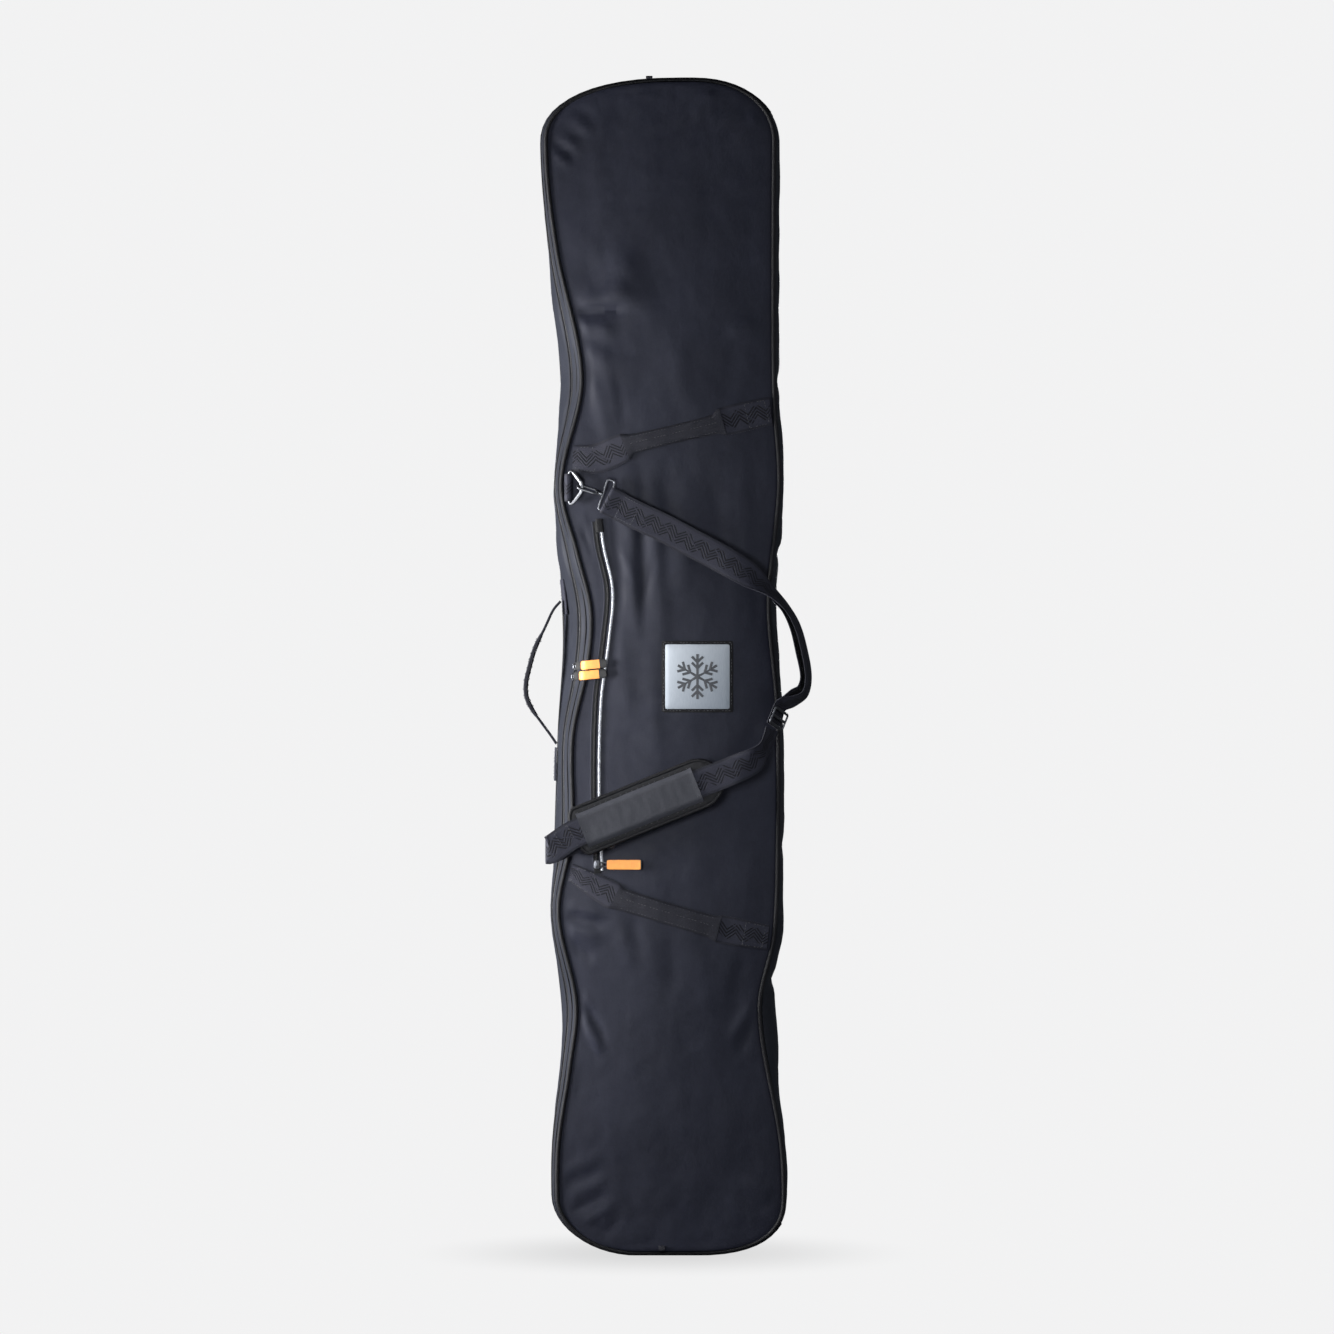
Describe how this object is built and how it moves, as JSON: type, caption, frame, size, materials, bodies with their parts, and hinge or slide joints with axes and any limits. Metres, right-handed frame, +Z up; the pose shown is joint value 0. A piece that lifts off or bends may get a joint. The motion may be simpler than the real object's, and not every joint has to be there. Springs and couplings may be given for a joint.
{
  "type": "snowboard bag",
  "caption": "Long padded snowboard bag with a zip-open front, side pocket zip, haul straps, a hooked shoulder strap with pad, and a side grab handle.",
  "frame": {"origin": "middle of the flat base that the bag stands on", "axes": "+Z up along the bag's length, -Y out of the front panel, +X to the right as seen from the front"},
  "size_m": [0.4105, 0.189, 1.6855],
  "materials": {
    "navy_fabric": "woven polyester, slight sheen",
    "grey_lining": "matt lining",
    "black_binding": "satin binding",
    "charcoal_webbing": "jacquard webbing",
    "zip_black": "moulded coil zip",
    "gunmetal": "polished",
    "dark_metal": "satin",
    "orange_rubber": "matt",
    "reflective_silver": "reflective, fine hatch",
    "pad_foam": "padded"
  },
  "bodies": {
    "shell": {"back_panel": "navy_fabric", "back_lining": "grey_lining", "back_piping": "black_binding", "gusset_rear": "navy_fabric", "zip_tape_rear": "zip_black", "handle_patch_upper": "charcoal_webbing", "handle_patch_lower": "charcoal_webbing"},
    "lid": {"front_panel": "navy_fabric", "front_lining": "grey_lining", "pocket_lining": "grey_lining", "front_piping": "black_binding", "gusset_front_strip": "navy_fabric", "zip_tape_front": "zip_black", "pocket_zip_chain": "zip_black", "reflective_piping": "reflective_silver", "label_backing": "black_binding", "label_face": "reflective_silver", "haul_strap_upper": "charcoal_webbing", "haul_strap_lower": "charcoal_webbing", "end_tab_top": "black_binding", "end_tab_bottom": "black_binding", "d_ring_loop_upper": "charcoal_webbing", "d_ring_loop_lower": "charcoal_webbing"},
    "side_handle": {"side_handle": "charcoal_webbing"},
    "main_slider_upper": {"zip_slider_upper": "dark_metal"},
    "main_slider_lower": {"zip_slider_lower": "dark_metal"},
    "main_pull_upper": {"zip_link_upper": "black_binding", "zip_tab_upper": "orange_rubber"},
    "main_pull_lower": {"zip_link_lower": "black_binding", "zip_tab_lower": "orange_rubber"},
    "pocket_slider": {"pocket_slider": "dark_metal"},
    "pocket_pull": {"pocket_link": "black_binding", "pocket_tab": "orange_rubber"},
    "ring_upper": {"d_ring_upper": "gunmetal"},
    "ring_lower": {"d_ring_lower": "gunmetal"},
    "shoulder_strap": {"shoulder_strap_long": "charcoal_webbing", "shoulder_strap_doubled": "charcoal_webbing", "shoulder_strap_short": "charcoal_webbing", "swivel_pin_upper": "gunmetal", "swivel_pin_lower": "gunmetal", "strap_loop_upper": "dark_metal", "strap_loop_lower": "dark_metal"},
    "hook_upper": {"snap_hook_upper": "gunmetal"},
    "hook_lower": {"snap_hook_lower": "gunmetal"},
    "gate_upper": {"hook_gate_upper": "gunmetal"},
    "gate_lower": {"hook_gate_lower": "gunmetal"},
    "adjuster": {"tri_glide": "dark_metal"},
    "pad": {"shoulder_pad": "pad_foam", "shoulder_pad_cover": "navy_fabric"}
  },
  "joints": [
    {"name": "lid_hinge", "type": "hinge", "parent": "shell", "child": "lid", "pos_m": [0.176, -0.023, 0.84], "axis": [0, 0, 1], "range_deg": [0, 110]},
    {"name": "side_handle_swing", "type": "hinge", "parent": "shell", "child": "side_handle", "pos_m": [-0.156, 0.025, 0.83], "axis": [0, 0, 1], "range_deg": [-45, 45]},
    {"name": "main_slider_upper_travel", "type": "slide", "parent": "lid", "child": "main_slider_upper", "axis": [0.0313, 0.0003, 0.9995], "range_m": [0, 0.07]},
    {"name": "main_slider_lower_travel", "type": "slide", "parent": "lid", "child": "main_slider_lower", "axis": [-0.1957, 0.0003, -0.9807], "range_m": [0, 0.06]},
    {"name": "main_pull_upper_lift", "type": "hinge", "parent": "main_slider_upper", "child": "main_pull_upper", "pos_m": [-0.13162, -0.03504, 0.84], "axis": [0, 0, -1], "range_deg": [0, 110]},
    {"name": "main_pull_lower_lift", "type": "hinge", "parent": "main_slider_lower", "child": "main_pull_lower", "pos_m": [-0.1338, -0.03495, 0.8254], "axis": [0, 0, -1], "range_deg": [0, 110]},
    {"name": "pocket_slider_travel", "type": "slide", "parent": "lid", "child": "pocket_slider", "axis": [-0.0257, 0.0042, 0.9997], "range_m": [0, 0.15]},
    {"name": "pocket_pull_lift", "type": "hinge", "parent": "pocket_slider", "child": "pocket_pull", "pos_m": [-0.08958, -0.07597, 0.5585], "axis": [0, 0, -1], "range_deg": [0, 120]},
    {"name": "shoulder_strap_swing", "type": "hinge", "parent": "lid", "child": "shoulder_strap", "pos_m": [-0.1345, -0.0705, 0.84], "axis": [0, 0, -1], "range_deg": [0, 60]},
    {"name": "ring_upper_turn", "type": "hinge", "parent": "lid", "child": "ring_upper", "pos_m": [-0.1345, -0.0705, 1.0946], "axis": [0, 0, -1], "range_deg": [0, 60]},
    {"name": "ring_lower_turn", "type": "hinge", "parent": "lid", "child": "ring_lower", "pos_m": [-0.1345, -0.0705, 0.597], "axis": [0, 0, -1], "range_deg": [0, 60]},
    {"name": "hook_upper_swivel", "type": "hinge", "parent": "shoulder_strap", "child": "hook_upper", "pos_m": [-0.12252, -0.07839, 1.09629], "axis": [0.9431, -0.1289, -0.3064], "range_deg": [-10, 10]},
    {"name": "hook_lower_swivel", "type": "hinge", "parent": "shoulder_strap", "child": "hook_lower", "pos_m": [-0.12267, -0.07839, 0.59587], "axis": [0.97, -0.1289, 0.2062], "range_deg": [-10, 10]},
    {"name": "hook_upper_gate", "type": "hinge", "parent": "hook_upper", "child": "gate_upper", "pos_m": [-0.09845, -0.07676, 1.09136], "axis": [0.2063, -0.4958, 0.8436], "range_deg": [0, 25], "stiffness_Nm_per_rad": 0.02},
    {"name": "hook_lower_gate", "type": "hinge", "parent": "hook_lower", "child": "gate_lower", "pos_m": [-0.09936, -0.07676, 0.60363], "axis": [-0.2431, -0.4958, 0.8337], "range_deg": [0, 25], "stiffness_Nm_per_rad": 0.02},
    {"name": "adjuster_travel", "type": "slide", "parent": "shoulder_strap", "child": "adjuster", "axis": [-0.3725, -0.1304, -0.9188], "range_m": [-0.004, 0.004]},
    {"name": "pad_travel", "type": "slide", "parent": "shoulder_strap", "child": "pad", "axis": [0.9272, 0, 0.3746], "range_m": [-0.014, 0.012]}
  ],
  "couplings": [
    {"joint": "ring_upper_turn", "follows": "shoulder_strap_swing", "ratio": 1},
    {"joint": "ring_lower_turn", "follows": "shoulder_strap_swing", "ratio": 1}
  ]
}
